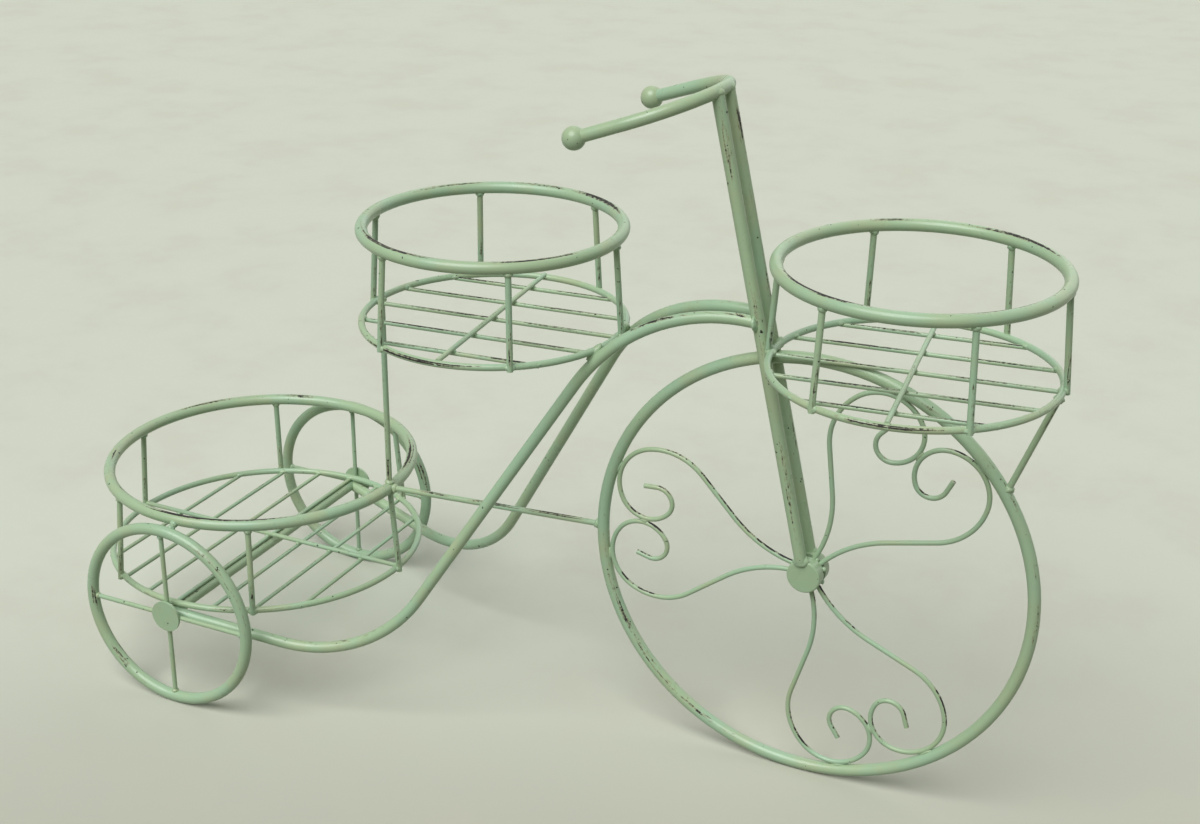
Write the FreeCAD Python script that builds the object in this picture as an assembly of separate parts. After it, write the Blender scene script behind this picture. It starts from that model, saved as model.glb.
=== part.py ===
import FreeCAD, Part
import math
import os

# Plant stand in the shape of a tricycle, welded from round steel tube and rod, with
# three pot baskets. Sizes are in millimetres. X points forward, Y to the left and Z up.
# Pieces are set out from the rear axle, then moved along X so that the origin lies on
# the floor below the middle of the stand's length.

# Stock
tube_d = 10.0          # rims, top rings of the baskets, fork, axle and handlebar
frame_tube_d = 9.6     # the two bent side tubes
ring_rod_d = 5.5       # floor rings of the baskets
upright_d = 5.0        # basket uprights
brace_d = 5.0          # post, strut, support and the ties at the rear rims
scroll_wire_d = 4.0    # heart scrolls of the front wheel
spoke_d = 4.0          # rear wheel spokes
floor_bar_d = 3.5      # floor bars of the baskets
cross_bar_d = 4.0      # one bar across each set of floor bars

# Clearances at welds
touch_gap = 0.05       # between round pieces that only touch
side_gap = 0.2         # between the front rim and each fork tube
weld_bite = 0.3        # depth of the notch where a ring sits against a tube

# Wheels, radii to the middle of the tube
rear_rim_r = 81.0
front_rim_r = 180.0
rear_track = 296.0
rear_disc_d = 28.0
rear_disc_t = 2.0
rear_spoke_count = 4
rim_tie_x = 8.0        # ties between the rear rims and the rear basket, ahead of the axle

# Front hub, a spool with a groove that takes the ends of the scroll wires
hub_d = 28.0
hub_core_d = 16.0
hub_length = 24.0
hub_edge_r = 1.5

# Heart scrolls, laid out on each heart's own axis from the hub to the rim
heart_count = 3
first_heart_deg = 55.0
stem_offset = 2.6      # from the heart's axis to each stem at the hub
stem_bend_r = 99.0
stem_deg = 41.8        # how far the stem leans out from the axis
shoulder_r = 48.2      # the wider bend between the stem and the lobe
shoulder_end_deg = 69.8
lobe_r = 34.4
lobe_deg = 13.3        # from the axis to the line through the lobe's centre
curl_r = 24.7
curl_end_deg = -143.0
tail_r = 13.1
tail_end_deg = -279.0
tail_run = 11.0        # straight end of the wire

# Fork and handlebar
rake_deg = 13.0
handlebar_z = 563.0
handlebar_bend_r = 64.0
handlebar_tilt_deg = 20.0
handlebar_splay_deg = 8.0
handlebar_arm = 38.0   # straight part, to the centre of the ball
ball_d = 18.0

# Baskets, radii to the middle of the ring
wheel_gap = 13.0           # from the rear basket's top ring to the middle of each rear rim
rear_flare = 4.0           # how much wider the floor ring is than the top ring
pot_top_r = 105.0
pot_flare = 3.0
basket_height = 79.0       # floor ring to top ring
floor_drop = 1.6           # floor bars below the middle of their ring
middle_floor_z = 351.0
upright_count = 6
rear_bar_count = 7
rear_bar_gap = 33.7
pot_bar_count = 5
pot_bar_gap = 40.0
rear_bars_deg = 90.0       # rear floor bars run along the axle
middle_turn_deg = 5.0      # each pot basket is welded on a little turned
front_turn_deg = 7.0

# Side tubes of the frame: corners of the path, before the bends round them off
frame_joint_rise = 39.0    # from the middle basket's floor to where the tubes leave the fork
frame_top_run = 95.7       # from the fork back to the upper corner
frame_top_rise = 9.0
frame_top_y = 17.0
frame_top_bend_share = 1.55    # bend radius over frame_top_run
frame_low_ahead = 36.0     # from the rear basket to the lower corner
frame_low_inset = 49.0     # from the plane of the rear rim to the lower corner
frame_low_z = 54.0
frame_low_bend_r = 120.0

# Support of the front basket
support_rim_deg = 34.0     # where it stands on the front rim

tube_r = tube_d / 2
frame_tube_r = frame_tube_d / 2
ring_rod_r = ring_rod_d / 2
upright_r = upright_d / 2
scroll_wire_r = scroll_wire_d / 2
spoke_r = spoke_d / 2
floor_bar_r = floor_bar_d / 2
cross_bar_r = cross_bar_d / 2
hub_r = hub_d / 2
rake = math.radians(rake_deg)

half_track = rear_track / 2
rear_top_r = half_track - wheel_gap
rear_floor_r = rear_top_r + rear_flare
pot_floor_r = pot_top_r + pot_flare
rear_axle_z = rear_rim_r + tube_r
front_hub_z = front_rim_r + tube_r
disc_inner_y = half_track + spoke_r
fork_y = 2 * tube_r + side_gap

rear_floor_z = rear_axle_z + tube_r + floor_bar_r + floor_drop
front_floor_z = front_hub_z + front_rim_r + tube_r
rear_top_z = rear_floor_z + basket_height
frame_joint_z = middle_floor_z + frame_joint_rise
post_x = rear_top_r
middle_x = post_x + pot_floor_r


def point(x, y, z):
    return FreeCAD.Vector(x, y, z)


y_axis = point(0, 1, 0)
z_axis = point(0, 0, 1)
sides = {"left": 1, "right": -1}


def rod(start, end, diameter):
    run = end - start
    return Part.makeCylinder(diameter / 2, run.Length, start, run)


def bar_along(edges, diameter):
    path = Part.Wire(edges)
    first = edges[0]
    start = first.valueAt(first.FirstParameter)
    heading = first.tangentAt(first.FirstParameter)
    section = Part.Face(Part.Wire(Part.makeCircle(diameter / 2, start, heading)))
    return path.makePipe(section)


def line(start, end):
    return Part.LineSegment(start, end).toShape()


def bend(before, corner, after, radius):
    back = (before - corner).normalize()
    ahead = (after - corner).normalize()
    half = back.getAngle(ahead) / 2
    reach = radius / math.tan(half)
    inset = radius / math.sin(half) - radius
    middle = corner + (back + ahead).normalize() * inset
    return corner + back * reach, middle, corner + ahead * reach


def bent_path(corners, radii):
    edges = []
    last = corners[0]
    for before, corner, after, radius in zip(corners, corners[1:], corners[2:], radii):
        start, middle, end = bend(before, corner, after, radius)
        edges.append(line(last, start))
        edges.append(Part.Arc(start, middle, end).toShape())
        last = end
    edges.append(line(last, corners[-1]))
    return edges


def cope(shape, *others):
    # Each bar is cut to fit what it meets, and only its main piece is kept.
    tools = Part.makeCompound(others)
    pieces = [max(bar.cut(tools).Solids, key=lambda piece: piece.Volume) for bar in shape.Solids]
    return pieces[0] if len(pieces) == 1 else Part.makeCompound(pieces)


def frame_path(sign, ahead):
    top_x = middle_x + pot_floor_r + ahead
    frame_end_y = half_track - spoke_r - frame_tube_r - side_gap
    corners = [
        point(top_x + frame_top_run, sign * fork_y, frame_joint_z),
        point(top_x, sign * frame_top_y, frame_joint_z + frame_top_rise),
        point(rear_top_r + frame_low_ahead, sign * (half_track - frame_low_inset), frame_low_z),
        point(0, sign * frame_end_y, rear_axle_z),
    ]
    return bent_path(corners, (frame_top_bend_share * frame_top_run, frame_low_bend_r))


def frame_seat():
    # How far ahead of the middle basket the side tubes bend, for its floor ring to sit against them.
    ring = Part.makeCircle(pot_floor_r, point(middle_x, 0, middle_floor_z))
    seated = frame_tube_r + ring_rod_r - weld_bite
    near, far = frame_tube_d, pot_floor_r
    while far - near > touch_gap:
        ahead = (near + far) / 2
        if Part.Wire(frame_path(1, ahead)).distToShape(ring)[0] < seated:
            near = ahead
        else:
            far = ahead
    return near


# Along the length come the rear basket, the post, the middle basket, the frame tubes, the fork
# and the front basket.
frame_top_ahead = frame_seat()
frame_joint_x = middle_x + pot_floor_r + frame_top_ahead + frame_top_run
wheelbase = frame_joint_x + (frame_joint_z - front_hub_z) * math.tan(rake)


def fork_x(z):
    return wheelbase - (z - front_hub_z) * math.tan(rake)


ring_reach = math.sqrt(pot_floor_r ** 2 - fork_y ** 2)
front_x = fork_x(front_floor_z) + tube_r / math.cos(rake) + ring_rod_r - weld_bite + ring_reach

# The feet of the uprights are the farthest points at both ends.
rear_end = -(rear_floor_r + ring_rod_r + upright_r)
front_end = front_x + (pot_floor_r + ring_rod_r) * math.cos(math.radians(front_turn_deg)) + upright_r
middle_of_length = (rear_end + front_end) / 2


def front_rim():
    return Part.makeTorus(front_rim_r, tube_r, point(wheelbase, 0, front_hub_z), y_axis)


def front_hub():
    groove = scroll_wire_d + 2 * touch_gap
    cap_t = (hub_length - groove) / 2
    core = Part.makeCylinder(hub_core_d / 2, groove, point(wheelbase, -groove / 2, front_hub_z), y_axis)
    caps = []
    for sign in sides.values():
        inner = point(wheelbase, sign * groove / 2, front_hub_z)
        cap = Part.makeCylinder(hub_r, cap_t, inner, y_axis * sign)
        rims = [e for e in cap.Edges if abs(abs(e.CenterOfMass.y) - hub_length / 2) < touch_gap]
        caps.append(cap.makeFillet(hub_edge_r, [e for e in rims if e.Closed]))
    return core.multiFuse(caps)


def on_circle(centre, radius, degrees):
    angle = math.radians(degrees)
    return centre[0] + radius * math.cos(angle), centre[1] + radius * math.sin(angle)


def scroll_wire(heart_deg, sign):
    turn = math.radians(heart_deg)

    def place(flat):
        along, across = flat[0], sign * flat[1]
        x = along * math.cos(turn) - across * math.sin(turn)
        z = along * math.sin(turn) + across * math.cos(turn)
        return point(wheelbase + x, 0, front_hub_z + z)

    def sweep(centre, radius, start_deg, end_deg):
        degrees = (start_deg, (start_deg + end_deg) / 2, end_deg)
        return Part.Arc(*[place(on_circle(centre, radius, d)) for d in degrees]).toShape()

    # The lobe touches the rim, and the curl touches the curl across the heart's axis.
    lobe_reach = front_rim_r - tube_r - touch_gap - scroll_wire_r - lobe_r
    lobe = on_circle((0, 0), lobe_reach, lobe_deg)
    curl_across = curl_r + scroll_wire_r + touch_gap
    lobe_end_deg = math.degrees(math.asin((curl_across - lobe[1]) / (lobe_r - curl_r)))
    curl = on_circle(lobe, lobe_r - curl_r, lobe_end_deg)
    tail = on_circle(curl, curl_r - tail_r, curl_end_deg)
    tail_end = on_circle(tail, tail_r, tail_end_deg)
    tip = on_circle(tail_end, tail_run, tail_end_deg - 90)

    shoulder = on_circle(lobe, lobe_r - shoulder_r, shoulder_end_deg)
    shoulder_start_deg = stem_deg + 90
    stem_top = on_circle(shoulder, shoulder_r, shoulder_start_deg)
    stem_run = (stem_top[1] - stem_offset) / math.tan(math.radians(stem_deg))
    stem_corner = place((stem_top[0] - stem_run, stem_offset))
    stem_start = place((0, stem_offset))
    start, middle, end = bend(stem_start, stem_corner, place(stem_top), stem_bend_r)
    edges = [line(stem_start, start), Part.Arc(start, middle, end).toShape(), line(end, place(stem_top))]
    edges.append(sweep(shoulder, shoulder_r, shoulder_start_deg, shoulder_end_deg))
    edges.append(sweep(lobe, lobe_r, shoulder_end_deg, lobe_end_deg))
    edges.append(sweep(curl, curl_r, lobe_end_deg, curl_end_deg))
    edges.append(sweep(tail, tail_r, curl_end_deg, tail_end_deg))
    edges.append(line(place(tail_end), place(tip)))
    return bar_along(edges, scroll_wire_d)


def heart_scroll(number, hub):
    heart_deg = first_heart_deg + number * 360 / heart_count
    return Part.makeCompound([cope(scroll_wire(heart_deg, sign), hub) for sign in sides.values()])


def fork_tube(sign):
    foot = point(fork_x(front_hub_z), sign * fork_y, front_hub_z)
    head = point(fork_x(handlebar_z), sign * fork_y, handlebar_z)
    return rod(foot, head, tube_d)


def hub_seat():
    start = point(wheelbase, -fork_y - tube_d, front_hub_z)
    return Part.makeCylinder(hub_r, 2 * (fork_y + tube_d), start, y_axis)


def handlebar_point(back, across):
    tilt = math.radians(handlebar_tilt_deg)
    x = fork_x(handlebar_z) - back * math.cos(tilt)
    return point(x, across, handlebar_z - back * math.sin(tilt))


def handlebar_arm_ends(sign):
    splay = math.radians(handlebar_splay_deg)
    back = handlebar_bend_r * (1 - math.sin(splay))
    across = handlebar_bend_r * math.cos(splay)
    inner = handlebar_point(back, sign * across)
    back += handlebar_arm * math.cos(splay)
    across += handlebar_arm * math.sin(splay)
    return inner, handlebar_point(back, sign * across)


def handlebar():
    left_inner, left_end = handlebar_arm_ends(1)
    right_inner, right_end = handlebar_arm_ends(-1)
    front = Part.Arc(left_inner, handlebar_point(0, 0), right_inner).toShape()
    return bar_along([line(left_end, left_inner), front, line(right_inner, right_end)], tube_d)


def handlebar_ball(sign):
    return Part.makeSphere(ball_d / 2, handlebar_arm_ends(sign)[1])


def frame_tube(sign):
    return bar_along(frame_path(sign, frame_top_ahead), frame_tube_d)


def rear_axle():
    return rod(point(0, -disc_inner_y, rear_axle_z), point(0, disc_inner_y, rear_axle_z), tube_d)


def rear_rim(sign):
    return Part.makeTorus(rear_rim_r, tube_r, point(0, sign * half_track, rear_axle_z), y_axis)


def rear_spokes(sign, rim, axle):
    centre = point(0, sign * half_track, rear_axle_z)
    spokes = []
    for number in range(rear_spoke_count):
        angle = 2 * math.pi * number / rear_spoke_count
        outward = point(math.cos(angle), 0, math.sin(angle))
        spokes.append(cope(rod(centre, centre + outward * rear_rim_r, spoke_d), rim, axle))
    return Part.makeCompound(spokes)


def rear_disc(sign):
    back = point(0, sign * disc_inner_y, rear_axle_z)
    return Part.makeCylinder(rear_disc_d / 2, rear_disc_t, back, y_axis * sign)


def rim_tie(sign):
    rim_z = rear_axle_z + math.sqrt(rear_rim_r ** 2 - rim_tie_x ** 2)
    ring_y = math.sqrt(rear_top_r ** 2 - rim_tie_x ** 2)
    low = point(rim_tie_x, sign * half_track, rim_z)
    return rod(low, point(rim_tie_x, sign * ring_y, rear_top_z), brace_d)


def around(x, radius, degrees, z):
    angle = math.radians(degrees)
    return point(x + radius * math.cos(angle), radius * math.sin(angle), z)


def chord(x, radius, offset, degrees, z, diameter):
    half = math.sqrt(radius ** 2 - offset ** 2)
    angle = math.radians(degrees)
    ahead = point(math.cos(angle), math.sin(angle), 0)
    middle = point(x - offset * math.sin(angle), offset * math.cos(angle), z)
    return rod(middle - ahead * half, middle + ahead * half, diameter)


def basket(x, floor_z, top_r, floor_r, turn_deg, bars_deg, bar_count, bar_gap):
    top_z = floor_z + basket_height
    top_ring = Part.makeTorus(top_r, tube_r, point(x, 0, top_z), z_axis)
    floor_ring = Part.makeTorus(floor_r, ring_rod_r, point(x, 0, floor_z), z_axis)

    # The uprights stand against the outside of the floor ring, down to its underside.
    uprights = []
    for number in range(upright_count):
        degrees = turn_deg + number * 360 / upright_count
        foot = around(x, floor_r + ring_rod_r, degrees, floor_z - ring_rod_r)
        head = around(x, top_r, degrees, top_z)
        uprights.append(cope(rod(foot, head, upright_d), top_ring, floor_ring))

    # The floor bars end in the ring, and one bar lies across the top of them.
    bar_z = floor_z - floor_drop
    bars = []
    for number in range(bar_count):
        offset = (number - (bar_count - 1) / 2) * bar_gap
        bar = chord(x, floor_r, offset, bars_deg, bar_z, floor_bar_d)
        bars.append(cope(bar, floor_ring, *uprights))
    cross_z = bar_z + floor_bar_r + cross_bar_r + touch_gap
    cross_bar = cope(chord(x, floor_r, 0, bars_deg + 90, cross_z, cross_bar_d), floor_ring, *uprights)
    return {
        "top_ring": top_ring,
        "floor_ring": floor_ring,
        "uprights": Part.makeCompound(uprights),
        "floor_bars": Part.makeCompound(bars),
        "cross_bar": cross_bar,
    }


def front_support():
    head = point(front_x + pot_floor_r, 0, front_floor_z)
    foot_deg = math.radians(support_rim_deg)
    foot_x = wheelbase + front_rim_r * math.cos(foot_deg)
    return rod(point(foot_x, 0, front_hub_z + front_rim_r * math.sin(foot_deg)), head, brace_d)


def build():
    nodes = {}
    rim = front_rim()
    hub = front_hub()
    nodes["front_rim"] = rim
    nodes["front_hub"] = hub
    for number, place in enumerate(("upper", "rear", "lower")):
        nodes["heart_scroll_" + place] = heart_scroll(number, hub)

    bar = handlebar()
    balls = {side: handlebar_ball(sign) for side, sign in sides.items()}
    nodes["handlebar"] = cope(bar, *balls.values())
    forks = {side: cope(fork_tube(sign), hub_seat(), bar) for side, sign in sides.items()}
    axle = rear_axle()
    nodes["rear_axle"] = axle
    frames = {side: cope(frame_tube(sign), forks[side], axle) for side, sign in sides.items()}

    rear = basket(0, rear_floor_z, rear_top_r, rear_floor_r, 0, rear_bars_deg, rear_bar_count, rear_bar_gap)
    middle = basket(middle_x, middle_floor_z, pot_top_r, pot_floor_r, middle_turn_deg, middle_turn_deg,
                    pot_bar_count, pot_bar_gap)
    front = basket(front_x, front_floor_z, pot_top_r, pot_floor_r, front_turn_deg, front_turn_deg,
                   pot_bar_count, pot_bar_gap)

    for side, sign in sides.items():
        wheel = rear_rim(sign)
        nodes["handlebar_ball_" + side] = balls[side]
        nodes["fork_tube_" + side] = forks[side]
        nodes["frame_tube_" + side] = frames[side]
        nodes["rear_rim_" + side] = wheel
        nodes["rear_spokes_" + side] = rear_spokes(sign, wheel, axle)
        nodes["rear_disc_" + side] = rear_disc(sign)
        nodes["rim_tie_" + side] = cope(rim_tie(sign), wheel, rear["top_ring"])

    post = rod(point(post_x, 0, rear_top_z), point(post_x, 0, middle_floor_z), brace_d)
    nodes["basket_post"] = cope(post, rear["top_ring"], middle["floor_ring"])
    strut = rod(point(rear_top_r, 0, rear_top_z), point(wheelbase - front_rim_r, 0, front_hub_z), brace_d)
    nodes["wheel_strut"] = cope(strut, rear["top_ring"], rim)
    nodes["front_support"] = cope(front_support(), front["floor_ring"], rim, front["uprights"])

    # The pot baskets are notched where they sit against the frame, the fork and the front rim.
    for piece in ("floor_ring", "uprights"):
        middle[piece] = cope(middle[piece], *frames.values())
        front[piece] = cope(front[piece], rim, *forks.values())
    front["floor_bars"] = cope(front["floor_bars"], rim)

    for name, pieces in (("rear", rear), ("middle", middle), ("front", front)):
        for piece, shape in pieces.items():
            nodes[name + "_basket_" + piece] = shape
    return nodes


os.makedirs("parts", exist_ok=True)
for name, shape in build().items():
    solids = shape.Solids
    whole = solids[0] if len(solids) == 1 else Part.makeCompound(solids)
    whole.translate(point(-middle_of_length, 0, 0))
    whole.exportStep("parts/" + name + ".step")
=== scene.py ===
import bmesh
import bpy
import math
import numpy as np
from mathutils import Matrix, Vector, noise
from mathutils.bvhtree import BVHTree
from mathutils.kdtree import KDTree


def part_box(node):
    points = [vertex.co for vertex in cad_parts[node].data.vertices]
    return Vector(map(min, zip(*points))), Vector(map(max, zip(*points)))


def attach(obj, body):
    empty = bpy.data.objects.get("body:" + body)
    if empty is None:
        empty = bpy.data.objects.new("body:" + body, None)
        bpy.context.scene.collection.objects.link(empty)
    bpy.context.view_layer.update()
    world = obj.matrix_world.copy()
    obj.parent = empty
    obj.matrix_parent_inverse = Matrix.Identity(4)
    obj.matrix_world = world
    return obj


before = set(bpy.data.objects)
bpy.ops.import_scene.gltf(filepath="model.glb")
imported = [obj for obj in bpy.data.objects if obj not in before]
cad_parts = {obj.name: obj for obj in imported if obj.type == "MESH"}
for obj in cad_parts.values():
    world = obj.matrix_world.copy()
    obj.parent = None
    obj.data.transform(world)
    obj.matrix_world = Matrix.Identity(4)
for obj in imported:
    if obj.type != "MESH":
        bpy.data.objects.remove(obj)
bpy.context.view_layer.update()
print("frame loaded with", len(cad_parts), "nodes")

forward = Vector((1, 0, 0))     # the way the stand faces
sideways = Vector((0, 1, 0))    # to its left
upward = Vector((0, 0, 1))

# Camera, as the photograph was taken
cameraSet = {
    "place": (0.6526, -1.2386, 0.8859),
    "yaw": 0.448,
    "pitch": 0.4116,
    "roll": -0.0091,
    "focalPixels": 1849.1,
    "photoWidth": 1200,
    "sensorWidth": 36.0,
}


def makeCamera(v):
    yaw, pitch, roll = v["yaw"], v["pitch"], v["roll"]
    ahead = Vector((-math.sin(yaw) * math.cos(pitch), math.cos(yaw) * math.cos(pitch), -math.sin(pitch)))
    across = Vector((math.cos(yaw), math.sin(yaw), 0))
    down = ahead.cross(across)
    right = across * math.cos(roll) + down * math.sin(roll)
    up = across * math.sin(roll) - down * math.cos(roll)
    camera = bpy.data.objects.new("photoCamera", bpy.data.cameras.new("photoCamera"))
    camera.data.sensor_width = v["sensorWidth"]
    camera.data.lens = v["focalPixels"] / v["photoWidth"] * v["sensorWidth"]
    camera.matrix_world = Matrix((right, up, -ahead)).transposed().to_4x4()
    camera.location = v["place"]
    bpy.context.collection.objects.link(camera)
    bpy.context.scene.camera = camera


makeCamera(cameraSet)
print("camera set")


# Small helpers for building shader nodes
def put(tree, socket, value):
    if isinstance(value, bpy.types.NodeSocket):
        tree.links.new(value, socket)
    else:
        socket.default_value = value


def calc(tree, operation, first, second=0.0):
    node = tree.nodes.new("ShaderNodeMath")
    node.operation = operation
    put(tree, node.inputs[0], first)
    put(tree, node.inputs[1], second)
    return node.outputs[0]


def times(tree, first, second):
    return calc(tree, "MULTIPLY", first, second)


# Brings an angle in degrees back to within half a turn either way
def wrapAngle(tree, angle):
    node = tree.nodes.new("ShaderNodeMath")
    node.operation = "WRAP"
    put(tree, node.inputs[0], angle)
    node.inputs[1].default_value = 180.0
    node.inputs[2].default_value = -180.0
    return node.outputs[0]


def dot(tree, vector, direction):
    node = tree.nodes.new("ShaderNodeVectorMath")
    node.operation = "DOT_PRODUCT"
    put(tree, node.inputs[0], vector)
    put(tree, node.inputs[1], direction)
    return node.outputs["Value"]


# How far a place lies from an origin in one direction
def offset(tree, place, origin, direction):
    return calc(tree, "SUBTRACT", dot(tree, place, direction), origin.dot(direction))


def fade(tree, value, low, high):
    node = tree.nodes.new("ShaderNodeMapRange")
    node.interpolation_type = "SMOOTHSTEP"
    put(tree, node.inputs["Value"], value)
    put(tree, node.inputs["From Min"], low)
    put(tree, node.inputs["From Max"], high)
    return node.outputs["Result"]


def join(tree, x, y, z):
    node = tree.nodes.new("ShaderNodeCombineXYZ")
    for socket, value in zip(node.inputs, (x, y, z)):
        put(tree, socket, value)
    return node.outputs[0]


# Noise whose look is its scale, detail and roughness
def grain(tree, vector, w, look):
    node = tree.nodes.new("ShaderNodeTexNoise")
    node.noise_dimensions = "4D"
    put(tree, node.inputs["Vector"], vector)
    put(tree, node.inputs["W"], w)
    for socket, value in zip(("Scale", "Detail", "Roughness"), look):
        node.inputs[socket].default_value = value
    return node.outputs["Fac"]


def blendColour(tree, share, first, second):
    node = tree.nodes.new("ShaderNodeMix")
    node.data_type = "RGBA"
    put(tree, node.inputs["Factor"], share)
    put(tree, node.inputs["A"], first)
    put(tree, node.inputs["B"], second)
    return node.outputs["Result"]


def position(tree):
    return tree.nodes.new("ShaderNodeTexCoord").outputs["Object"]


def surfaceNormal(tree):
    return tree.nodes.new("ShaderNodeNewGeometry").outputs["Normal"]


# Paint: sage green over dark iron, rubbed through along the edges that catch
paintSet = {
    "green": (0.345, 0.473, 0.290, 1),
    "greenCool": (0.324, 0.486, 0.322, 1),
    "greenDusty": (0.375, 0.456, 0.276, 1),
    "rubbed": (0.245, 0.215, 0.130, 1),
    "iron": (0.012, 0.010, 0.009, 1),
    "streakGrain": (1.0, 6.0, 0.62),
    "raggedGrain": (330.0, 3.0, 0.60),
    "speckGrain": (230.0, 2.0, 0.50),
    "coolGrain": (9.0, 3.0, 0.55),
    "dustyGrain": (21.0, 4.0, 0.60),
    "peelGrain": (420.0, 2.0, 0.50),
    "roughGrain": (55.0, 3.0, 0.50),
    "streakLong": 15.0,     # how often streaks change along a tube, per metre
    "fleckLong": 42.0,      # the same where the wear is in short flecks
    "streakAcross": 3.4,    # and around it, per radius
    "raggedMiddle": 0.5,
    "raggedShare": 0.42,
    "bandFrom": 0.74,       # the worn side begins here and is full there, 1 is its middle
    "bandTo": 0.97,
    "offBand": 0.11,        # how much less the other sides wear
    "windowLift": 0.22,
    "windowOuter": 1.2,     # a worn stretch begins here and is full there, in half widths
    "windowInner": 0.2,
    "chipAt": 0.705,
    "chipEdge": 0.03,
    "haloReach": 0.10,      # the brown rubbed edge of a chip
    "haloShare": 0.65,
    "speckAt": 0.715,
    "speckEdge": 0.02,
    "speckBand": 0.02,      # how many more specks there are on the worn side
    "speckWear": 0.3,
    "coolFrom": 0.40,
    "coolTo": 0.64,
    "dustyFrom": 0.46,
    "dustyTo": 0.72,
    "roughFrom": 0.3,
    "roughTo": 0.7,
    "roughLow": 0.24,
    "roughHigh": 0.40,
    "chipRough": 0.72,
    "peelShare": 0.25,
    "bumpDepth": 0.00025,
    "bumpStrength": 0.5,
}


# How far a surface turns towards the side that wears, alike on the left and the right of the stand
def wornTowards(tree, side):
    normal = surfaceNormal(tree)
    aside = calc(tree, "ABSOLUTE", dot(tree, normal, sideways))
    along = dot(tree, normal, (side[0], 0, side[2]))
    return calc(tree, "ADD", along, times(tree, aside, abs(side[1])))


# Each layout gives the grain's vector and fourth coordinate, the place along the piece
# for its worn stretches, and how far a spot turns to the side that wears
def ringLayout(centre, normal, ringR, rodR, wornSide, along):
    def build(tree):
        place = position(tree)
        across = paintSet["streakAcross"]
        second = normal.cross(forward)
        a = offset(tree, place, centre, forward)
        b = offset(tree, place, centre, second)
        reach = calc(tree, "SQRT", calc(tree, "ADD", times(tree, a, a), times(tree, b, b)))
        out = calc(tree, "DIVIDE", calc(tree, "SUBTRACT", reach, ringR), rodR)
        up = calc(tree, "DIVIDE", offset(tree, place, centre, normal), rodR)
        vector = join(tree, times(tree, a, along), times(tree, b, along), times(tree, out, across))
        if len(wornSide) == 3:
            worn = wornTowards(tree, wornSide)
        else:
            worn = calc(tree, "ADD", times(tree, out, wornSide[0]), times(tree, up, wornSide[1]))
        angle = times(tree, calc(tree, "ARCTAN2", b, a), 180 / math.pi)
        return vector, times(tree, up, across), angle, worn
    return build


def rodLayout(start, end, rodR, wornSide, along):
    def build(tree):
        place = position(tree)
        across = paintSet["streakAcross"]
        run = end - start
        ahead = run.normalized()
        first = ahead.orthogonal().normalized()
        second = ahead.cross(first)
        u = offset(tree, place, start, ahead)
        a = calc(tree, "DIVIDE", offset(tree, place, start, first), rodR)
        b = calc(tree, "DIVIDE", offset(tree, place, start, second), rodR)
        vector = join(tree, times(tree, u, along), times(tree, a, across), times(tree, b, across))
        share = calc(tree, "DIVIDE", u, run.length)
        return vector, 0.0, share, wornTowards(tree, wornSide)
    return build


# Bent and scrolled pieces wear in patches that follow no one direction
def freeLayout(along, across, wornSide):
    def build(tree):
        place = position(tree)
        x, y, z = (dot(tree, place, direction) for direction in (forward, sideways, upward))
        vector = join(tree, times(tree, x, along), times(tree, y, across), times(tree, z, across))
        return vector, 0.0, x, wornTowards(tree, wornSide)
    return build


# Stretches where the paint has worn most, given as angles where turn is true
def stretchLift(tree, along, windows, turn):
    v = paintSet
    lift = 0.0
    for middle, half, strength in windows:
        off = calc(tree, "SUBTRACT", along, middle)
        if turn:
            off = wrapAngle(tree, off)
        near = fade(tree, calc(tree, "ABSOLUTE", off), half * v["windowOuter"], half * v["windowInner"])
        lift = calc(tree, "MAXIMUM", lift, times(tree, near, strength * v["windowLift"]))
    return lift


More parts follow.
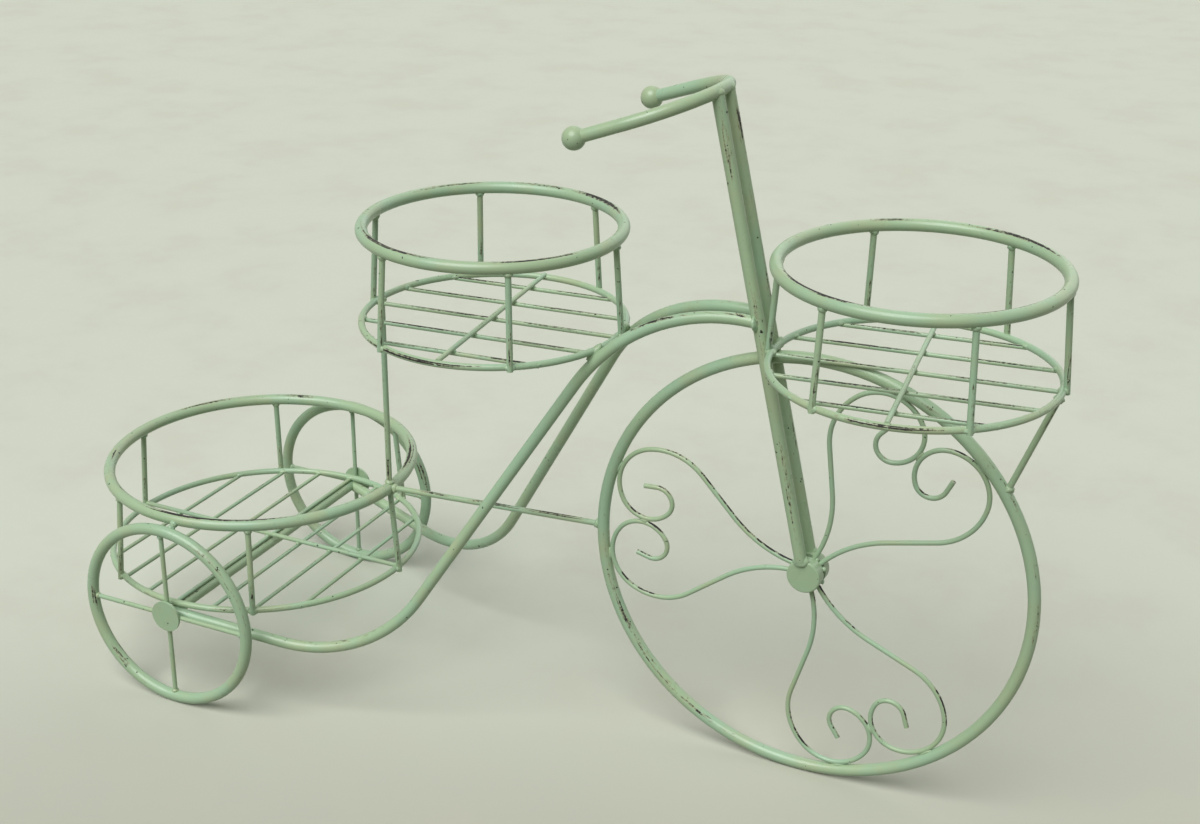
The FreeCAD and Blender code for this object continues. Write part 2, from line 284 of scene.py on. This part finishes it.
def makePaint(name, layout, windows, turn, wear, seed):
    v = paintSet
    mat = bpy.data.materials.new(name)
    mat.use_nodes = True
    tree = mat.node_tree
    shader = tree.nodes["Principled BSDF"]
    vector, w, along, worn = layout(tree)
    place = position(tree)

    # Chips along the piece and specks all over, each grain with a seed of its own
    band = fade(tree, worn, v["bandFrom"], v["bandTo"])
    lift = stretchLift(tree, along, windows, turn)
    streak = grain(tree, vector, calc(tree, "ADD", w, seed), v["streakGrain"])
    ragged = calc(tree, "SUBTRACT", grain(tree, place, seed + 1.0, v["raggedGrain"]), v["raggedMiddle"])
    streak = calc(tree, "ADD", streak, times(tree, ragged, v["raggedShare"]))
    raised = times(tree, band, calc(tree, "ADD", lift, v["offBand"] + wear))
    lifted = calc(tree, "ADD", streak, calc(tree, "SUBTRACT", raised, v["offBand"]))
    chip = fade(tree, lifted, v["chipAt"], v["chipAt"] + v["chipEdge"])
    halo = fade(tree, lifted, v["chipAt"] - v["haloReach"], v["chipAt"])
    fleck = grain(tree, place, seed, v["speckGrain"])
    fleck = calc(tree, "ADD", fleck, times(tree, band, v["speckBand"] + wear * v["speckWear"]))
    speck = fade(tree, fleck, v["speckAt"], v["speckAt"] + v["speckEdge"])
    chips = calc(tree, "MAXIMUM", chip, speck)

    # Paint tone drifts slowly between a cooler and a dustier green
    cool = fade(tree, grain(tree, place, seed + 4.0, v["coolGrain"]), v["coolFrom"], v["coolTo"])
    dusty = fade(tree, grain(tree, place, seed + 9.0, v["dustyGrain"]), v["dustyFrom"], v["dustyTo"])
    colour = blendColour(tree, cool, v["green"], v["greenCool"])
    colour = blendColour(tree, dusty, colour, v["greenDusty"])
    colour = blendColour(tree, times(tree, halo, v["haloShare"]), colour, v["rubbed"])
    colour = blendColour(tree, chips, colour, v["iron"])
    put(tree, shader.inputs["Base Color"], colour)

    # Satin gloss, dull where the iron is bare
    rough = tree.nodes.new("ShaderNodeMapRange")
    put(tree, rough.inputs["Value"], grain(tree, place, seed + 6.0, v["roughGrain"]))
    rough.inputs["From Min"].default_value = v["roughFrom"]
    rough.inputs["From Max"].default_value = v["roughTo"]
    rough.inputs["To Min"].default_value = v["roughLow"]
    rough.inputs["To Max"].default_value = v["roughHigh"]
    bare = times(tree, chips, v["chipRough"])
    put(tree, shader.inputs["Roughness"], calc(tree, "MAXIMUM", rough.outputs["Result"], bare))
    shader.inputs["Metallic"].default_value = 0.0

    # A light orange peel, with the chips sunk into it
    peel = grain(tree, place, seed + 2.0, v["peelGrain"])
    bump = tree.nodes.new("ShaderNodeBump")
    bump.inputs["Strength"].default_value = v["bumpStrength"]
    bump.inputs["Distance"].default_value = v["bumpDepth"]
    put(tree, bump.inputs["Height"], calc(tree, "SUBTRACT", times(tree, peel, v["peelShare"]), chips))
    put(tree, shader.inputs["Normal"], bump.outputs["Normal"])
    return mat


def dress(node, mat):
    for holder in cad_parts[node].material_slots:
        holder.material = mat


# The middle of a node's box and half its size
def middleOf(node):
    low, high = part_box(node)
    return (low + high) / 2, (high - low) / 2


# The separate solids of a node, each as a list of points in a fixed order
def solidsOf(node):
    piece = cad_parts[node]
    bm = bmesh.new()
    bm.from_mesh(piece.data)
    bmesh.ops.remove_doubles(bm, verts=bm.verts, dist=1e-6)
    left = set(bm.verts)
    solids = []
    while left:
        found = [left.pop()]
        for vert in found:
            for edge in vert.link_edges:
                other = edge.other_vert(vert)
                if other in left:
                    left.remove(other)
                    found.append(other)
        solids.append(sorted((piece.matrix_world @ vert.co for vert in found), key=tuple))
    bm.free()
    return sorted(solids, key=lambda points: tuple(round(c, 5) for c in points[0]))


# Both ends of a straight rod, the lower or rearmost first
def rodEnds(points):
    cloud = np.array(points)
    middle = cloud.mean(axis=0)
    ahead = np.linalg.svd(cloud - middle, full_matrices=False)[2][0]
    reach = (cloud - middle) @ ahead
    ends = [Vector(middle + ahead * reach.min()), Vector(middle + ahead * reach.max())]
    tall = abs(ahead[2]) > 0.5      # steeper than 30 degrees
    return sorted(ends, key=lambda end: end.z if tall else end.x + end.y)


# Rings of the baskets: angle from +X, half width and strength of each worn stretch, in degrees
ringSet = {
    "wear": 0.03,
    "topSeed": 3.1,
    "topSide": (-0.16, 0.987),      # top of the tube, a little inside
    "topWorn": {
        "rear_basket_top_ring":
            [(111, 9, 0.7), (150, 14, 0.5), (210, 8, 0.5), (-74, 36, 1.3), (26, 18, 0.9)],
        "middle_basket_top_ring":
            [(-112, 34, 1.25), (-40, 26, 1.1), (95, 16, 0.7), (58, 24, 1.1), (143, 24, 0.45)],
        "front_basket_top_ring":
            [(-118, 30, 1.4), (-40, 30, 0.7), (122, 12, 0.45), (60, 26, 0.9), (174, 10, 0.4)],
    },
    "floorSeed": 6.1,
    "floorSide": (0.93, 0.37),      # outside of the rod, a little up
    "floorWorn": {
        "rear_basket_floor_ring": [(-60, 30, 0.5), (150, 30, 0.4)],
        "middle_basket_floor_ring": [(-100, 35, 1.2), (20, 25, 0.3)],
        "front_basket_floor_ring": [(-85, 25, 1.1), (160, 20, 0.4)],
    },
}


def paintRings(kind, v):
    for number, (node, windows) in enumerate(v[kind + "Worn"].items()):
        centre, half = middleOf(node)
        side, seed = v[kind + "Side"], v[kind + "Seed"] + number
        layout = ringLayout(centre, upward, half.x - half.z, half.z, side, paintSet["streakLong"])
        dress(node, makePaint(node + "_paint", layout, windows, True, v["wear"], seed))


# Rims of the wheels, worn in the same way
rimSet = {
    "wear": 0.05,
    "seed": 13.7,
    "side": (0.62, -0.72, 0.30),    # the side turned forward and outward
    "worn": {
        "front_rim":
            [(72, 20, 0.7), (2, 10, 0.7), (-28, 16, 0.5), (213, 22, 0.5), (248, 18, 0.9),
             (267, 12, 1.0), (150, 12, 0.5)],
        "rear_rim_right": [(-75, 20, 0.8), (60, 22, 0.7), (180, 9, 0.8), (225, 12, 0.5)],
        "rear_rim_left": [(-75, 20, 0.6), (120, 22, 0.6), (20, 12, 0.5)],
    },
}


def paintRims(v):
    side = Vector(v["side"]).normalized()
    for number, (node, windows) in enumerate(v["worn"].items()):
        centre, half = middleOf(node)
        layout = ringLayout(centre, -sideways, half.x - half.y, half.y, side, paintSet["fleckLong"])
        dress(node, makePaint(node + "_paint", layout, windows, True, v["wear"], v["seed"] + number))


paintRings("top", ringSet)
paintRings("floor", ringSet)
paintRims(rimSet)
print("rings and rims painted")

# Straight tubes and rods: radius, streaks, the side that wears, and worn stretches as shares of the length
straightSet = {
    "wear": 0.0,
    "seed": 23.3,
    "tubeR": 0.005,
    "rodR": 0.0025,
    "worn": {
        "fork_tube_right":
            ("tubeR", "fleckLong", (0.4, -0.86, 0.3),
             [(0.87, 0.09, 0.9), (0.57, 0.06, 0.8), (0.43, 0.04, 0.5), (0.2, 0.12, 0.6)]),
        "fork_tube_left":
            ("tubeR", "fleckLong", (0.9, -0.2, 0.3),
             [(0.92, 0.06, 1.0), (0.6, 0.06, 0.4), (0.25, 0.1, 0.5)]),
        "rear_axle":
            ("tubeR", "streakLong", (0.2, -0.3, 0.93), [(0.1, 0.1, 0.6), (0.5, 0.2, 0.4)]),
        "basket_post":
            ("rodR", "streakLong", (0.3, -0.9, 0.2), [(0.08, 0.08, 0.7)]),
        "wheel_strut":
            ("rodR", "streakLong", (0.0, -0.45, 0.9),
             [(0.22, 0.10, 0.8), (0.50, 0.16, 1.2), (0.80, 0.18, 1.2)]),
        "front_support":
            ("rodR", "streakLong", (0.7, -0.7, 0.0), [(0.2, 0.2, 0.6), (0.8, 0.15, 0.5)]),
    },
}


def paintStraight(v):
    for number, (node, (radius, streaks, side, windows)) in enumerate(v["worn"].items()):
        start, end = rodEnds(solidsOf(node)[0])
        layout = rodLayout(start, end, v[radius], Vector(side).normalized(), paintSet[streaks])
        dress(node, makePaint(node + "_paint", layout, windows, False, v["wear"], v["seed"] + number))


paintStraight(straightSet)
print("straight tubes painted")

# Rods of a basket, which run one way together: radius, streaks, the side that wears,
# worn stretches as shares of the length, wear and seed
basketSet = {
    "turns": {"rear": 90, "middle": 5, "front": 7},     # the way the floor bars run, degrees from +X
    "floor_bars":
        (0.00175, "streakLong", (0.1, -0.45, 0.9), [(0.3, 0.25, 0.6), (0.75, 0.2, 0.6)], 0.10, 41.0),
    "cross_bar":
        (0.002, "streakLong", (0.2, -0.4, 0.9), [(0.45, 0.15, 0.5)], 0.0, 44.0),
    "uprights":
        (0.0025, "fleckLong", (0.6, -0.8, 0.0), [(0.24, 0.28, 0.62)], 0.03, 47.0),
}


def paintRods(place, number, part, start, end):
    rodR, streaks, side, windows, wear, seed = basketSet[part]
    layout = rodLayout(start, end, rodR, Vector(side).normalized(), paintSet[streaks])
    mat = makePaint(place + "_" + part + "_paint", layout, windows, False, wear, seed + number)
    dress(place + "_basket_" + part, mat)


for number, (place, turn) in enumerate(basketSet["turns"].items()):
    centre, half = middleOf(place + "_basket_floor_bars")
    reach = max(half.x, half.y)
    ahead = Vector((math.cos(math.radians(turn)), math.sin(math.radians(turn)), 0))
    aside = Vector((-ahead.y, ahead.x, 0))
    low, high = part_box(place + "_basket_uprights")
    foot = Vector((centre.x, centre.y, low.z))
    head = Vector((centre.x, centre.y, high.z))
    paintRods(place, number, "floor_bars", centre - ahead * reach, centre + ahead * reach)
    paintRods(place, number, "cross_bar", centre - aside * reach, centre + aside * reach)
    paintRods(place, number, "uprights", foot, head)
print("floors and uprights painted")

# Bent and scrolled pieces: grain along X and across it per metre, the side that wears, and wear
bentSet = {
    "seed": 57.0,
    "bendWorn": [(-0.085, 0.040, 0.9), (-0.30, 0.05, 0.3)],     # metres along X from the fork
    "worn": {
        "frame_tube_right": (26.0, 300.0, (0.0, -0.35, 0.93), 0.04),
        "frame_tube_left": (26.0, 300.0, (0.0, -0.35, 0.93), 0.03),
        "handlebar": (40.0, 260.0, (0.3, -0.3, 0.9), -0.06),
        "handlebar_ball_left": (160.0, 260.0, (0.5, -0.5, 0.7), -0.05),
        "handlebar_ball_right": (160.0, 260.0, (0.5, -0.5, 0.7), -0.05),
        "heart_scroll_upper": (60.0, 60.0, (0.45, -0.3, 0.84), 0.23),
        "heart_scroll_rear": (60.0, 60.0, (0.45, -0.3, 0.84), 0.23),
        "heart_scroll_lower": (60.0, 60.0, (0.84, -0.3, 0.45), 0.23),
        "front_hub": (180.0, 220.0, (0.3, -0.4, 0.85), 0.02),
        "rear_disc_left": (150.0, 150.0, (0.0, 1.0, 0.2), -0.08),
        "rear_disc_right": (150.0, 150.0, (0.0, -1.0, 0.2), -0.10),
        "rear_spokes_left": (160.0, 160.0, (0.0, -0.8, 0.5), 0.05),
        "rear_spokes_right": (160.0, 160.0, (0.4, -0.8, 0.3), 0.02),
        "rim_tie_left": (160.0, 160.0, (0.0, -0.5, 0.8), 0.0),
        "rim_tie_right": (160.0, 160.0, (0.0, -0.5, 0.8), 0.0),
    },
}


def paintBent(v):
    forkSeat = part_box("frame_tube_right")[1].x
    bend = [(forkSeat + off, half, strength) for off, half, strength in v["bendWorn"]]
    for number, (node, (along, across, side, wear)) in enumerate(v["worn"].items()):
        layout = freeLayout(along, across, Vector(side).normalized())
        windows = bend if node == "frame_tube_right" else ()
        dress(node, makePaint(node + "_paint", layout, windows, False, wear, v["seed"] + number))


paintBent(bentSet)
print("bent pieces painted")

# Weld beads, painted over with everything else. Sizes of beads are half sizes in metres:
# along the first direction of a bead, along its second and across both
weldSet = {
    "roundness": 3,
    "lump": 0.20,
    "lumpScale": 0.55,      # of the bead's own size
    "lumpStep": 1.37,       # from the noise of one bead to the next
    "collarGirth": 1.50,    # of the rod's radius, like the next two
    "collarReach": 1.20,
    "collarIn": 0.30,
    "paintGrain": 200.0,
    "paintSide": (0, -0.4, 0.9),
    "paintWear": 0.05,
}


class Beads:
    def __init__(self, name, slot, seed):
        self.name, self.slot, self.seed = name, slot, seed
        self.bm = bmesh.new()

    # One lumpy bead with its own three half sizes along three directions
    def add(self, centre, ahead, aside, long, wide, high):
        ahead = ahead.normalized()
        third = ahead.cross(aside).normalized()
        aside = third.cross(ahead)
        self.seed += weldSet["lumpStep"]
        shift = Vector((self.seed, 0, self.seed))
        made = bmesh.ops.create_icosphere(self.bm, subdivisions=weldSet["roundness"], radius=1.0)["verts"]
        for vert in made:
            swell = noise.noise(vert.co / weldSet["lumpScale"] + shift)
            co = vert.co * (1 + weldSet["lump"] * swell)
            vert.co = centre + ahead * co.x * long + aside * co.y * wide + third * co.z * high

    # A collar round the end of a rod, lying on the piece it meets
    def collar(self, end, inward, rodR):
        unit = inward.normalized()
        seat = end + unit * rodR * weldSet["collarIn"]
        girth = rodR * weldSet["collarGirth"]
        self.add(seat, inward, unit.orthogonal(), rodR * weldSet["collarReach"], girth, girth)

    # Collars at both ends of a straight rod
    def collars(self, points, rodR):
        first, last = rodEnds(points)
        self.collar(first, last - first, rodR)
        self.collar(last, first - last, rodR)

    def finish(self, paintSeed):
        for face in self.bm.faces:
            face.smooth = True
        mesh = bpy.data.meshes.new(self.name)
        self.bm.to_mesh(mesh)
        self.bm.free()
        piece = bpy.data.objects.new(self.name, mesh)
        bpy.context.collection.objects.link(piece)
        layout = freeLayout(weldSet["paintGrain"], weldSet["paintGrain"], Vector(weldSet["paintSide"]))
        mat = makePaint(self.name + "_paint", layout, (), False, weldSet["paintWear"], paintSeed)
        mesh.materials.append(mat)
        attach(piece, "root")


def treeOf(node):
    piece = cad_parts[node]
    return BVHTree.FromObject(piece, bpy.context.evaluated_depsgraph_get())


# The place where some points come nearest to a node
def meeting(points, tree):
    near = min(points, key=lambda p: tree.find_nearest(p)[3])
    return (near + tree.find_nearest(near)[0]) / 2


# The place where two lists of points come nearest to each other
def touching(points, others):
    twin = KDTree(len(others))
    for number, point in enumerate(others):
        twin.insert(point, number)
    twin.balance()
    near = min(points, key=lambda p: twin.find(p)[2])
    return (near + twin.find(near)[0]) / 2


# Points along the middle line of a basket's ring
def circle(node, count=720):
    centre, half = middleOf(node)
    turns = [math.radians(360 * step / count) for step in range(count)]
    return [centre + Vector((math.cos(a), math.sin(a), 0)) * (half.x - half.z) for a in turns]


basketWeldSet = {
    "seed": 5.0,
    "seedStep": 100,        # from one basket to the next
    "uprightR": 0.0025,
    "sideBead": (0.0046, 0.0030, 0.0026),       # where an upright meets the floor ring
    "sideOut": 0.7,         # from the ring's middle line, of its rod's radius
    "barBead": (0.0046, 0.0023, 0.0034),
    "barIn": 0.0005,
    "tackBead": (0.0027, 0.0027, 0.00189),      # where the cross bar lies on a floor bar
}


def basketWelds(place, seed, v):
    beads = Beads(place + "_basket_welds", "rod_paint", seed)
    centre, half = middleOf(place + "_basket_floor_ring")
    ringR = half.x - half.z
    for points in solidsOf(place + "_basket_uprights"):
        foot, head = rodEnds(points)
        beads.collar(head, foot - head, v["uprightR"])
        out = Vector((foot.x - centre.x, foot.y - centre.y, 0)).normalized()
        seat = centre + out * (ringR + half.z * v["sideOut"])
        beads.add(seat, upward.cross(out), upward, *v["sideBead"])
    for part in ("_basket_floor_bars", "_basket_cross_bar"):
        for points in solidsOf(place + part):
            for end in rodEnds(points):
                out = Vector((end.x - centre.x, end.y - centre.y, 0)).normalized()
                seat = Vector((end.x, end.y, centre.z)) - out * v["barIn"]
                beads.add(seat, upward.cross(out), upward, *v["barBead"])
    crossFirst, crossLast = rodEnds(solidsOf(place + "_basket_cross_bar")[0])
    run = (crossLast - crossFirst).normalized()
    for points in solidsOf(place + "_basket_floor_bars"):
        first, last = rodEnds(points)
        spot = crossFirst + run * (((first + last) / 2 - crossFirst).dot(run))
        spot.z = (crossFirst.z + first.z) / 2
        beads.add(spot, run, (last - first).normalized(), *v["tackBead"])
    beads.finish(seed)


for number, place in enumerate(basketSet["turns"]):
    basketWelds(place, basketWeldSet["seed"] + basketWeldSet["seedStep"] * number, basketWeldSet)
print("basket welds laid")

frontWeldSet = {
    "seed": 311.0,
    "paintSeed": 31.0,
    "rimBead": (0.0060, 0.0022, 0.0024),
    "stemBead": (0.0040, 0.0024, 0.0026),
    "stemOut": 0.0118,      # from the middle of the hub
    "curlBead": (0.0046, 0.0021, 0.0021),       # where the two wires of a heart touch
}


def frontWheelWelds(v):
    beads = Beads("front_wheel_welds", "rod_paint", v["seed"])
    rim = treeOf("front_rim")
    hubCentre = middleOf("front_hub")[0]
    for place in ("upper", "rear", "lower"):
        pair = solidsOf("heart_scroll_" + place)
        for points in pair:
            spot = meeting(points, rim)
            out = (spot - hubCentre).normalized()
            beads.add(spot, out.cross(sideways), out, *v["rimBead"])
            stem = min(points, key=lambda p: (p - hubCentre).length)
            out = (stem - hubCentre).normalized()
            beads.add(hubCentre + out * v["stemOut"], out, sideways, *v["stemBead"])
        spot = touching(*pair)
        beads.add(spot, (spot - hubCentre).normalized(), sideways, *v["curlBead"])
    beads.finish(v["paintSeed"])


rearWeldSet = {
    "seed": 411.0,
    "paintSeed": 41.0,
    "spokeR": 0.0020,
    "tieR": 0.0024,
}


def rearWheelWelds(v):
    beads = Beads("rear_wheel_welds", "rod_paint", v["seed"])
    for side in ("left", "right"):
        for points in solidsOf("rear_spokes_" + side):
            beads.collars(points, v["spokeR"])
        beads.collars(solidsOf("rim_tie_" + side)[0], v["tieR"])
    beads.finish(v["paintSeed"])


frameWeldSet = {
    "seed": 511.0,
    "paintSeed": 51.0,
    "braceR": 0.0027,
    "middleRun": (-0.4, 0.5, -0.6),             # the frame tube's way past the middle basket
    "middleBead": (0.0085, 0.0034, 0.0036),
    "frontBead": (0.0055, 0.0042, 0.0036),      # between the front basket and the fork
    "forkRun": (-0.23, 0, 0.97),                # the fork's way up
    "forkBead": (0.0060, 0.0052, 0.0022),
    "axleBead": (0.0062, 0.0056, 0.0030),
    "footBead": (0.0050, 0.0046, 0.0064),
    "headR": 0.0038,
}


def frameWelds(v):
    beads = Beads("frame_welds", "tube_paint", v["seed"])
    for node in ("basket_post", "wheel_strut", "front_support"):
        beads.collars(solidsOf(node)[0], v["braceR"])
    for side, sign in (("left", 1), ("right", -1)):
        x, y, z = v["middleRun"]
        seat = meeting(circle("middle_basket_floor_ring"), treeOf("frame_tube_" + side))
        beads.add(seat, Vector((x, sign * y, z)), upward, *v["middleBead"])
        seat = meeting(circle("front_basket_floor_ring"), treeOf("fork_tube_" + side))
        beads.add(seat, sideways, upward, *v["frontBead"])
        tube = solidsOf("frame_tube_" + side)[0]
        top = meeting(tube, treeOf("fork_tube_" + side))
        beads.add(top, Vector(v["forkRun"]), sideways, *v["forkBead"])
        low = meeting(tube, treeOf("rear_axle"))
        beads.add(low, sideways, upward, *v["axleBead"])
        foot, head = rodEnds(solidsOf("fork_tube_" + side)[0])
        beads.add(foot, head - foot, sideways, *v["footBead"])
        beads.collar(head, foot - head, v["headR"])
    beads.finish(v["paintSeed"])


frontWheelWelds(frontWeldSet)
rearWheelWelds(rearWeldSet)
frameWelds(frameWeldSet)
print("wheel and frame welds laid")

# Floor and light
stageSet = {
    "floorSize": 60.0,
    "floorNearShade": (0.430, 0.430, 0.348, 1),
    "floorFar": (0.600, 0.630, 0.530, 1),
    "floorDusty": (0.545, 0.520, 0.425, 1),
    "nearAt": -0.55,        # painted shade: the floor is darker on the camera's side and grows paler from here to there, metres away from the camera's side
    "farAt": 0.30,
    "dustSeed": 2.0,
    "dustGrain": (7.0, 6.0, 0.62),
    "dustFrom": 0.42,
    "dustTo": 0.72,
    "dustShare": 0.38,
    "floorRough": 0.9,
    "floorSpecular": 0.1,
    "lostLight": 0.45,      # share of the floor's light that isn't thrown back onto the stand
    "skyLight": (0.085, 0.088, 0.090, 1),
    "skySeen": (0.600, 0.640, 0.545, 1),
    "softFrom": (-0.10, -0.72, 1.0),
    "softStrength": 3.20,
    "softSpread": 48.0,
    "backFrom": (0.25, 0.95, 0.60),     # a weak light from behind, so that the back isn't left dark
    "backStrength": 0.85,
    "backSpread": 80.0,
}


# One where a ray shows the surface itself, and nothing where it only carries its light
def seenRays(tree):
    rays = tree.nodes.new("ShaderNodeLightPath").outputs
    seen = calc(tree, "MAXIMUM", rays["Is Camera Ray"], rays["Is Glossy Ray"])
    return calc(tree, "MAXIMUM", seen, rays["Is Transmission Ray"])


def makeFloor(v):
    half = v["floorSize"] / 2
    corners = [(-half, -half, 0), (half, -half, 0), (half, half, 0), (-half, half, 0)]
    mesh = bpy.data.meshes.new("studioFloor")
    mesh.from_pydata(corners, [], [(0, 1, 2, 3)])
    floor = bpy.data.objects.new("studioFloor", mesh)
    bpy.context.collection.objects.link(floor)
    mat = bpy.data.materials.new("studioFloor")
    mat.use_nodes = True
    tree = mat.node_tree
    shader = tree.nodes["Principled BSDF"]
    place = position(tree)
    away = dot(tree, place, (-math.sin(cameraSet["yaw"]), math.cos(cameraSet["yaw"]), 0))
    # Painted shade: the floor's colour is darker on the camera's side and paler away from it, standing in
    # for light that falls off towards the camera
    colour = blendColour(tree, fade(tree, away, v["nearAt"], v["farAt"]), v["floorNearShade"], v["floorFar"])
    dust = fade(tree, grain(tree, place, v["dustSeed"], v["dustGrain"]), v["dustFrom"], v["dustTo"])
    colour = blendColour(tree, times(tree, dust, v["dustShare"]), colour, v["floorDusty"])
    dim = blendColour(tree, v["lostLight"], colour, (0, 0, 0, 1))
    put(tree, shader.inputs["Base Color"], blendColour(tree, seenRays(tree), dim, colour))
    shader.inputs["Roughness"].default_value = v["floorRough"]
    shader.inputs["Specular IOR Level"].default_value = v["floorSpecular"]
    mesh.materials.append(mat)


def makeLight(v):
    for name in ("soft", "back"):
        sun = bpy.data.lights.new(name + "Light", "SUN")
        sun.energy = v[name + "Strength"]
        sun.angle = math.radians(v[name + "Spread"])
        holder = bpy.data.objects.new(name + "Light", sun)
        holder.rotation_euler = Vector(v[name + "From"]).to_track_quat("Z", "Y").to_euler()
        bpy.context.collection.objects.link(holder)
    world = bpy.data.worlds.new("studioSky")
    world.use_nodes = True
    tree = world.node_tree
    sky = tree.nodes["Background"]
    put(tree, sky.inputs["Color"], blendColour(tree, seenRays(tree), v["skyLight"], v["skySeen"]))
    sky.inputs["Strength"].default_value = 1.0
    bpy.context.scene.world = world
    bpy.context.scene.view_settings.view_transform = "Standard"


makeFloor(stageSet)
makeLight(stageSet)
print("stage lit")
